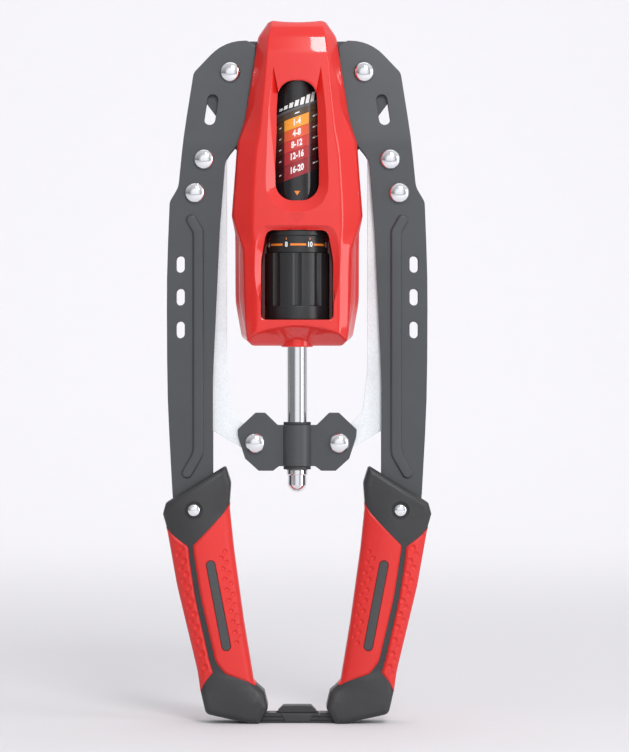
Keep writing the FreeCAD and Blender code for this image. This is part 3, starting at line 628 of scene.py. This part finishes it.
def make_arms():
    for front in (True, False):
        face = "front" if front else "back"
        plate_pair(f"arm_{face}_sheet", arm_plate(front), STEEL, "SIDE_arm",
                   f"SIDE_arm_{face}_plate")
    plate_pair("link_rivet", join([rivet_solid(*LINK_TOP, 7.4), rivet_solid(*ARM_SPACER, 7.4)]),
               CHROME, "SIDE_arm", "SIDE_arm_rivets")
    plate_pair("pivot_pin", rivet_solid(*PIVOT, 5.1, shank_r=4.0), CHROME, "SIDE_arm",
               "SIDE_pivot_rivet")
    plate_pair("handle_pin", rivet_solid(*HANDLE_PIN, 15.0, 4.7, 2.4, 2.5, 40), CHROME,
               "SIDE_arm", "SIDE_handle_rivet")
    yoke_holes = [hole_loop(side * PIVOT[0], PIVOT[1], 6.0) for side in (-1, 1)]
    yoke_holes += [hole_loop(x, 492.0, 3.0) for x in (-7.5, 7.5)]
    make("yoke_sheet", stack([outline_loop(YOKE)] + yoke_holes, soft_edges(-1.5, 1.5, 0.3)), STEEL,
         "core", ["top_yoke"])
    link_holes = [hole_loop(*LINK_TOP, 7.8), hole_loop(*LINK_FOOT, 5.0)]
    plate_pair("link_sheet", stack([outline_loop(LINK)] + link_holes, soft_edges(-1.8, 1.8, 0.35)),
               LINK_STEEL, "SIDE_link", "SIDE_link")


def make_slider():
    """Two pressed plates that clamp a bush on the rod."""
    wing = stack([outline_loop(WING), hole_loop(*LINK_FOOT, 3.5)], soft_edges(-4.0, -2.0, 0.35))
    bore = lathe([(0, 180), (9.1, 180), (9.1, 240), (0, 240)], 96)
    wing = combine(wing, [bore.copy()])
    wrap = lathe([(9.1, 190.4), (9.4, 190.1), (10.8, 190.1), (11.1, 190.4), (11.1, 220.4), (10.8, 220.7),
                  (9.4, 220.7), (9.1, 220.4)], 96, closed=True)
    wrap = combine(wrap, [block(-20, 20, -2.0, 20, 180, 240)])
    plate = combine(wing.copy(), [wrap, mirror_x(wing)], "UNION")
    bore.free()
    make("slider_sheet_back", mirror_y(plate), STEEL, "slider",
         ["slider_plate_back"])
    make("slider_sheet_front", plate, STEEL, "slider", ["slider_plate_front"])
    bush = lathe([(7.55, 187.7), (9.9, 187.7), (10.2, 188.0), (10.2, 189.8), (9.9, 190.05), (9.1, 190.1),
                  (9.1, 220.7), (9.9, 220.75), (10.2, 221.0), (10.2, 222.6), (9.9, 222.9), (7.55, 222.9)],
                 96, closed=True)
    make("slider_bush_ring", bush, BLACK, "slider", ["slider_bush"])
    pins = [rivet_solid(side * LINK_FOOT[0], LINK_FOOT[1], 4.0) for side in (-1, 1)]
    make("slider_pins", join(pins), CHROME, "slider", ["slider_rivets"])


# ---- knob and dial -------------------------------------------------------------------------------
KNOB_R = 24.0
BORE_R = 17.0
FLUTES = 9
FLUTE_R = 4.3                # round flute, whose axis lies FLUTE_OUT beyond the knob's outside
FLUTE_HALF = 3.3
FLUTE_OUT = 2.757
DIAL_R = 22.8
LABEL_R = 19.6


def make_knob():
    steps = 360
    bm = bmesh.new()
    rows = [(298.4, -0.9, 0), (298.6, -0.4, 0), (299.2, 0.0, 0), (308.2, 0.0, 0), (308.6, -0.15, 0),
            (308.7, -0.25, 1), (309.0, -0.1, 1), (309.4, 0.0, 1)]
    rows += [(309.4 + 4.2 * k, 0.0, 1) for k in range(1, 10)] + [(347.7, 0.0, 1), (348.0, -0.3, 1)]
    rings = []
    for z, grow, fluted in rows:
        ring = []
        for k in range(steps):
            turn = 2 * math.pi * k / steps
            offset = abs((turn + math.pi / FLUTES) % (2 * math.pi / FLUTES) - math.pi / FLUTES)
            chord = min(KNOB_R * offset, FLUTE_HALF)
            dent = math.sqrt(FLUTE_R ** 2 - chord ** 2) - FLUTE_OUT if fluted else 0.0
            radius = KNOB_R + grow - dent
            ring.append(bm.verts.new((radius * math.sin(turn), -radius * math.cos(turn), z)))
        rings.append(ring)
    turns = [2 * math.pi * k / steps for k in range(steps)]
    rings += [[bm.verts.new((BORE_R * math.sin(t), -BORE_R * math.cos(t), z)) for t in turns]
              for z in (348.0, 298.4)]
    for low, high in zip(rings, rings[1:] + rings[:1]):
        bridge(bm, low, high)
    bmesh.ops.recalc_face_normals(bm, faces=bm.faces)
    make("knob_grip", bm, KNOB_BLACK, "knob", ["adjusting_knob"])
    dial = lathe([(16.9, 348.1), (22.5, 348.1), (22.8, 348.4), (22.8, 360.2), (23.0, 360.5), (23.7, 360.7),
                  (24.0, 361.0), (24.0, 363.9), (23.4, 364.5), (16.9, 364.5)], 144, closed=True)
    make("dial_band", dial, KNOB_BLACK, "knob", ["dial_ring"])


def wrapped(bm, radius, turn, z, slant=0.0):
    """Lay a flat print, drawn in x and z with its thickness in y, on a cylinder about Z."""
    for v in bm.verts:
        x, height = v.co.x, v.co.z + slant * v.co.x
        angle = turn + x / radius
        out = radius + v.co.y
        v.co = (out * math.sin(angle), -out * math.cos(angle), z + height)
    bmesh.ops.recalc_face_normals(bm, faces=bm.faces)
    return bm


def patch(x0, x1, z0, z1, lean=0.0, thick=0.05):
    """Thin closed panel, cut into strips so that it can bend."""
    strips = max(1, math.ceil((x1 - x0) / 0.7))
    section = ((-0.3, z0), (thick, z0), (thick, z1), (-0.3, z1))
    stations = [x0 + (x1 - x0) * k / strips for k in range(strips + 1)]
    return loft([[(x + lean * (z - z0), y, z) for y, z in section] for x in stations])


def digits(text, size, thick=0.05, width=0.86):
    """Bold numerals centred on the origin in the XZ plane, squeezed to a share of their width."""
    curve = bpy.data.curves.new("digits", "FONT")
    curve.body = text
    curve.size = size
    curve.align_x = "CENTER"
    curve.align_y = "CENTER"
    curve.extrude = 0.5 * (thick + 0.2)
    curve.offset = 0.04 * size
    curve.resolution_u = 4
    obj = bpy.data.objects.new("digits", curve)
    scene.collection.objects.link(obj)
    mesh = bpy.data.meshes.new_from_object(obj.evaluated_get(bpy.context.evaluated_depsgraph_get()))
    bm = bmesh.new()
    bm.from_mesh(mesh)
    bpy.data.meshes.remove(mesh)
    bpy.data.curves.remove(curve)
    bmesh.ops.remove_doubles(bm, verts=bm.verts, dist=0.001)
    for v in bm.verts:
        v.co = (v.co.x * width, v.co.z + 0.5 * (thick - 0.2), v.co.y)
    return bm


def make_prints():
    z = 353.9
    twist = 0.035            # radians: the front isn't quite halfway between the 8 and the 10
    white = []
    bars = []
    step = 2 * math.pi / 8
    for k, value in enumerate((8, 6, 4, 1, 20, 16, 12, 10)):
        turn = twist - step * (k + 0.5)
        white.append(wrapped(digits(str(value), 5.0), DIAL_R, turn, z))
        half = step * DIAL_R * 0.5 - 3.0
        bars.append(wrapped(patch(-half, half, -0.8, 0.8), DIAL_R, turn - step / 2, z))
        bars.append(wrapped(patch(-0.35, 0.35, 3.6, 5.0), DIAL_R, turn, z))
    make("dial_numbers", join(white), WHITE_INK, "knob")
    make("dial_bars", join(bars), ORANGE_INK, "knob")

    radius = LABEL_R
    film = lathe([(19.05, 378.0), (19.5, 378.0), (19.6, 378.1), (19.6, 476.9), (19.5, 477.0), (19.05, 477.0)],
                 128, closed=True)
    make("scale_film", film, FILM, "core", ["scale_label"])
    slant = 0.36

    def on_label(bm, lean=slant):
        return wrapped(bm, radius, 0.0, 0.0, lean)

    rows = [(449.4, 444.6, "head"), (448.6, 440.4, "1-4"), (440.2, 432.5, "4-8"), (432.3, 424.4, "8-12"),
            (424.2, 415.4, "12-16"), (415.2, 404.2, "16-20")]
    tints = [(0.20, 0.12, 0.055), (0.88, 0.33, 0.03), (0.72, 0.10, 0.03), (0.60, 0.045, 0.035),
             (0.42, 0.025, 0.03), (0.30, 0.018, 0.026)]
    sides = [(0.085, 0.055, 0.035), (0.10, 0.055, 0.03), (0.10, 0.035, 0.025), (0.085, 0.02, 0.02),
             (0.06, 0.012, 0.014), (0.045, 0.01, 0.012)]
    marks = []
    for (top, low, text), tint, side in zip(rows, tints, sides):
        number = text != "head"
        if number:
            make("cell_" + text, on_label(patch(-9.8, 8.9, low, top)),
                 material("ink_" + text, tint, 0.3, coat=0.2, shade=0.03), "core")
            marks.append(wrapped(digits(text, 6.4, 0.1, 0.7), radius, -0.015, 0.5 * (low + top), slant))
            wings = [on_label(patch(a, b, low, top)) for a, b in ((-24.0, -9.9), (9.0, 24.0))]
        else:
            wings = [on_label(patch(-24.0, 24.0, 449.0, 453.4))]
        make("wing_" + text, join(wings),
             material("tint_" + text, side, 0.3, coat=0.2, shade=0.05), "core")
        middle = 0.5 * (low + top)
        for a, b in (((-14.6, -12.6), (12.2, 14.2), (15.0, 17.4)) if number else ((-1.8, 1.6),)):
            height = middle if number else 451.2
            marks.append(on_label(patch(a, b, height - 0.45, height + 0.45, 0.2, 0.09)))
    for k in range(7):
        left = -14.5 + 4.1 * k
        marks.append(on_label(patch(left, left + 2.9, 456.2, 458.0 + 0.85 * k, 0.22), slant * 0.8))
    make("label_marks", join(marks), WHITE_INK, "core")
    make("label_band", on_label(patch(-24, 24, 453.6, 455.6)), GREY_INK, "core")
    half, top = 2.1, 393.5
    rings = []
    for x in (half * k / 6 for k in range(-6, 7)):
        low = top - 3.3 * max(1 - abs(x) / half, 0.02)
        rings.append([(x, -0.3, low), (x, 0.06, low), (x, 0.06, top), (x, -0.3, top)])
    make("label_pointer", wrapped(loft(rings), radius, 0.0, 0.0), ORANGE_INK, "core")


# ---- handles ---------------------------------------------------------------------------------------
def dimples(start, step, aside, count, radius):
    """Two staggered rows of shallow round dents in both faces of a pad, as the lenses that cut them."""
    shape = [(0, -0.52), (0.4, -0.48), (0.68, -0.35), (0.88, -0.1), (1.0, 0.12), (1.04, 0.4), (0, 0.4)]
    lens = [(r * radius, -18.0 - h * radius) for r, h in shape]
    lenses = []
    for k in range(count):
        for across, up in ((0.0, 0.0), aside):
            dent = turn_to_y(lathe(lens, 20), start[0] + step[0] * k + across, start[1] + step[1] * k + up)
            lenses += [mirror_y(dent), dent]
    return join(lenses)


def crowned(bm, sink=0.0):
    """Round a handle piece across its width, flat at the middle line, and less so at its ends."""
    lean = 0.1825
    across = Vector((1, 0, -lean)).normalized()
    for k in range(-16, 17):
        bmesh.ops.bisect_plane(bm, geom=[*bm.verts, *bm.edges, *bm.faces],
                               plane_co=(54 + 1.5 * k, 0, 40), plane_no=across)
    for k in range(1, 23):
        bmesh.ops.bisect_plane(bm, geom=[*bm.verts, *bm.edges, *bm.faces],
                               plane_co=(0, 0, 8.0 * k), plane_no=(0, 0, 1))
    for v in bm.verts:
        z = v.co.z
        away = min(abs(v.co.x - 54 - lean * (z - 40)) / 22.0, 1.1)
        grip = smooth((z - 14.0) / 22.0) * (0.4 + 0.6 * smooth((172.0 - z) / 26.0))
        flat = smooth((z - 30.0) / 10.0) * smooth((140.0 - z) / 10.0)
        v.co.y *= 1 - 0.30 * grip * away * away - sink * flat
    return bm


def grip_pad(outline, dents):
    """Pad that follows the handle's rounded outside and stands a little proud of it."""
    proud = [(inset - 0.35, y) for inset, y in soft_edges(-18.0, 18.0, 5.2, 7)]
    outside = stack([outline_loop(HANDLE)], proud)
    rim = [(2.4, -18.4), (1.6, -17.95), (0.6, -17.2), (-0.2, -16.2), (-0.75, -14.9), (-1.0, -13.4)]
    rim = stack([outline_loop(outline)], rim + [(inset, -y) for inset, y in reversed(rim)])
    pad = combine(outside, [rim], "INTERSECT")
    return combine(pad, dents)


def make_handles():
    core = stack([outline_loop(HANDLE)], soft_edges(-17.2, 17.2, 4.6, 6))
    sinks = [turn_to_y(lathe([(0, y0), (6.6, y0), (6.6, y1), (0, y1)], 48), *HANDLE_PIN)
             for y0, y1 in ((-20, -15), (15, 20))]
    core = crowned(combine(core, sinks), 0.07)
    plate_pair("handle_body", core, BLACK, "SIDE_arm", "SIDE_handle_core")
    outer = grip_pad(OUTER_PAD, [dimples((85.2, 130.2), (-1.9, -9.78), (2.6, -5.1), 10, 2.6)])
    plate_pair("outer_pad", crowned(outer), RED_RUBBER, "SIDE_arm", "SIDE_outer_grip")
    a, b = (52.4, 57.4), (63.9, 117.4)
    groove = stack([capsule_loop(a, b, 3.5)], [(0.35, -25), (0.35, -18), (0.0, -17.6), (0.0, -16.5)])
    inner = grip_pad(INNER_PAD, [groove.copy(), mirror_y(groove),
                                 dimples((56.2, 122.7), (-1.45, -7.83), (-3.0, 4.6), 9, 1.9)])
    groove.free()
    plate_pair("inner_pad", crowned(inner), RED_RUBBER, "SIDE_arm", "SIDE_inner_grip")
    inlay = stack([capsule_loop(a, b, 3.25)], [(-0.8, -17.75), (-0.3, -17.7), (0.0, -17.3), (0.0, -16.0)])
    inlays = join([inlay.copy(), mirror_y(inlay)])
    inlay.free()
    plate_pair("pad_inlay", crowned(inlays), DARK_RUBBER, "SIDE_arm", "SIDE_grip_inlays")


POCKET_Z = 5.4               # floor of the socket's pocket, where the spring stands


def coil(radius, wire_r, low, high, turns):
    """Round-wire spring on the Z axis."""
    steps = 40 * turns
    rings = []
    for k in range(steps + 1):
        turn = 2 * math.pi * turns * k / steps
        z = low + wire_r + (high - low - 2 * wire_r) * k / steps
        ring = [(radius + wire_r * math.cos(a), z + wire_r * math.sin(a))
                for a in (2 * math.pi * j / 10 for j in range(10))]
        rings.append([(r * math.cos(turn), r * math.sin(turn), h) for r, h in ring])
    bm = loft(rings)
    bmesh.ops.recalc_face_normals(bm, faces=bm.faces)
    return bm


def make_latch():
    """Socket on the left handle, fork on the right one, and the sprung tab in the socket's pocket."""
    def band(x0, x1):
        """Length of the latch, with two grooves along each side."""
        half = [(8.4, 0.2), (9.0, 0.6), (9.0, 1.6), (8.1, 1.8), (8.1, 2.3), (8.9, 2.5), (8.9, 4.3),
                (8.1, 4.5), (8.1, 5.0), (8.9, 5.2), (8.9, 7.2), (8.5, 7.6)]
        section = half + [(-y, z) for y, z in reversed(half)]
        return triangulated(loft([[(x, y, z) for y, z in section] for x in (x0, x1)]), 5)
    seam = 16.5
    handle = stack([outline_loop(HANDLE)], [(0.4, -20), (0.4, 20)])
    rooms = [block(-15.5, 15.5, -7.9, 7.9, POCKET_Z, 12), block(-4, 20, -6.2, 6.2, 1.7, 4.7),
             block(-2.2, 2.2, -2.4, 2.4, 4, 12)]
    socket = combine(band(-27.0, seam - 0.1), [mirror_x(handle)] + rooms)
    panel = [(-8.9, 1.2, 0.4), (8.9, 1.2, 0.4), (11.8, 6.9, 0.4), (-11.8, 6.9, 0.4)]
    panels = [stack([outline_loop(panel)], [(0.5, -9.4), (0.0, -9.1), (0.0, -8.1)]),
              stack([outline_loop(panel)], [(0.0, 8.1), (0.0, 9.1), (0.5, 9.4)])]
    make("latch_socket_body", combine(socket, panels, "UNION"), BLACK, "left_arm",
         ["latch_socket"])
    prongs = combine(block(-2.5, seam + 1, -5.8, 5.8, 2.0, 4.4), [block(-3, 8, -2.8, 2.8, 1, 8)])
    fork = combine(combine(band(seam + 0.1, 27.0), [handle]), [prongs], "UNION")
    make("latch_fork_body", fork, BLACK, "right_arm", ["latch_fork"])
    outline = [(-14.6, 7.4, 0.5), (14.6, 7.4, 0.5), (14.2, 8.9, 0.8), (10.3, 12.9, 1.4), (-10.3, 12.9, 1.4),
               (-14.2, 8.9, 0.8)]
    tab = stack([outline_loop(outline)], soft_edges(-7.5, 7.5, 0.8, 3))
    tab = combine(tab, [block(-1.8, 1.8, -2.0, 2.0, 3.6, 8.4)], "UNION")
    make("latch_thumb_tab", tab, BLACK, "latch_button", ["latch_tab"])
    spring = make("latch_coil", coil(3.4, 0.25, POCKET_Z, 7.4, 2), SPRING, "left_arm",
                  ["latch_spring"])
    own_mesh(spring)


make_housing()
make_arms()
make_slider()
make_knob()
make_prints()
make_handles()
make_latch()


# ---- stage, light and camera -------------------------------------------------------------------------
def make_stage():
    """Pale floor that curves up into a backdrop."""
    bm = bmesh.new()
    bend_y, bend_r = 3.0, 2.5
    turns = [math.pi * k / 48 for k in range(25)]
    section = [(-4.0, 0.0)] + [(bend_y + bend_r * math.sin(t), bend_r * (1 - math.cos(t))) for t in turns]
    section += [(bend_y + bend_r, 6.0)]
    rings = [[bm.verts.new((x, y, z)) for y, z in section] for x in (-6.0, 6.0)]
    for i in range(len(section) - 1):
        bm.faces.new((rings[0][i], rings[0][i + 1], rings[1][i + 1], rings[1][i]))
    mesh = bpy.data.meshes.new("backdrop")
    bm.to_mesh(mesh)
    bm.free()
    mesh.shade_smooth()
    mesh.materials.append(material("backdrop", (0.80, 0.79, 0.81), 0.75, shade=0.004, specular=0.2))
    floor = bpy.data.objects.new("backdrop", mesh)
    scene.collection.objects.link(floor)


def area_light(name, spot, target, size, power):
    light = bpy.data.lights.new(name, "AREA")
    light.shape = "RECTANGLE"
    light.size, light.size_y = size
    light.energy = power
    lamp = bpy.data.objects.new(name, light)
    scene.collection.objects.link(lamp)
    lamp.location = spot
    lamp.visible_camera = False
    lamp.rotation_euler = (Vector(target) - Vector(spot)).to_track_quat("-Z", "Y").to_euler()


def make_world():
    world = bpy.data.worlds.new("studio")
    scene.world = world
    world.use_nodes = True
    tree = world.node_tree
    direction = node(tree, "ShaderNodeTexCoord").outputs["Generated"]
    parts = node(tree, "ShaderNodeSeparateXYZ", [(0, direction)])

    def glow(axis, first, last, dim, bright):
        """Light that changes from dim to bright as a direction's part along an axis goes first to last."""
        return node(tree, "ShaderNodeMapRange", [
            ("Value", parts.outputs[axis]), ("From Min", first), ("From Max", last),
            ("To Min", dim), ("To Max", bright)]).outputs[0]

    front, above, right = (glow("Y", -0.97, -0.85, 0.9, 0.2), glow("Z", -0.05, 0.7, 0.0, 0.45),
                           glow("X", -0.3, 0.9, 0.0, 0.3))
    total = node(tree, "ShaderNodeMath", [(0, front), (1, above)], operation="ADD")
    total = node(tree, "ShaderNodeMath", [(0, total.outputs[0]), (1, right)], operation="ADD")
    backdrop = tree.nodes["Background"]
    backdrop.inputs[0].default_value = (0.97, 0.97, 1.0, 1)
    tree.links.new(total.outputs[0], backdrop.inputs[1])


make_stage()
make_world()
area_light("key", (0.42, -1.75, 1.38), (0, 0, 0.3), (0.5, 0.7), 18)
area_light("right", (1.75, -1.0, 0.45), (0, 0, 0.27), (0.8, 1.4), 10)
area_light("top", (0.0, 0.3, 2.0), (0, 0, 0.2), (1.6, 1.2), 4)
area_light("wall", (0.0, 2.2, 2.8), (0, 5.3, 0.5), (4.0, 0.8), 60)

scene.view_settings.view_transform = "Standard"
lens = bpy.data.cameras.new("camera")
camera = bpy.data.objects.new("camera", lens)
scene.collection.objects.link(camera)
FRAME_HEIGHT = 0.5554            # metres that the picture's height spans at the object's front
FRONT = 0.015                    # how far that front stands before the object's middle plane
DISTANCE = 2.6                   # from the camera to that front
CAMERA_HEIGHT = 0.257
ASIDE = 0.0128                   # how far right of the object's axis the picture's middle lies
camera.location = (0.0, -DISTANCE - FRONT, CAMERA_HEIGHT)
camera.rotation_euler = (math.radians(90), 0, 0)
SENSOR = 36
lens.sensor_width = SENSOR
lens.lens = SENSOR * DISTANCE / FRAME_HEIGHT
lens.shift_x = ASIDE / FRAME_HEIGHT
scene.camera = camera
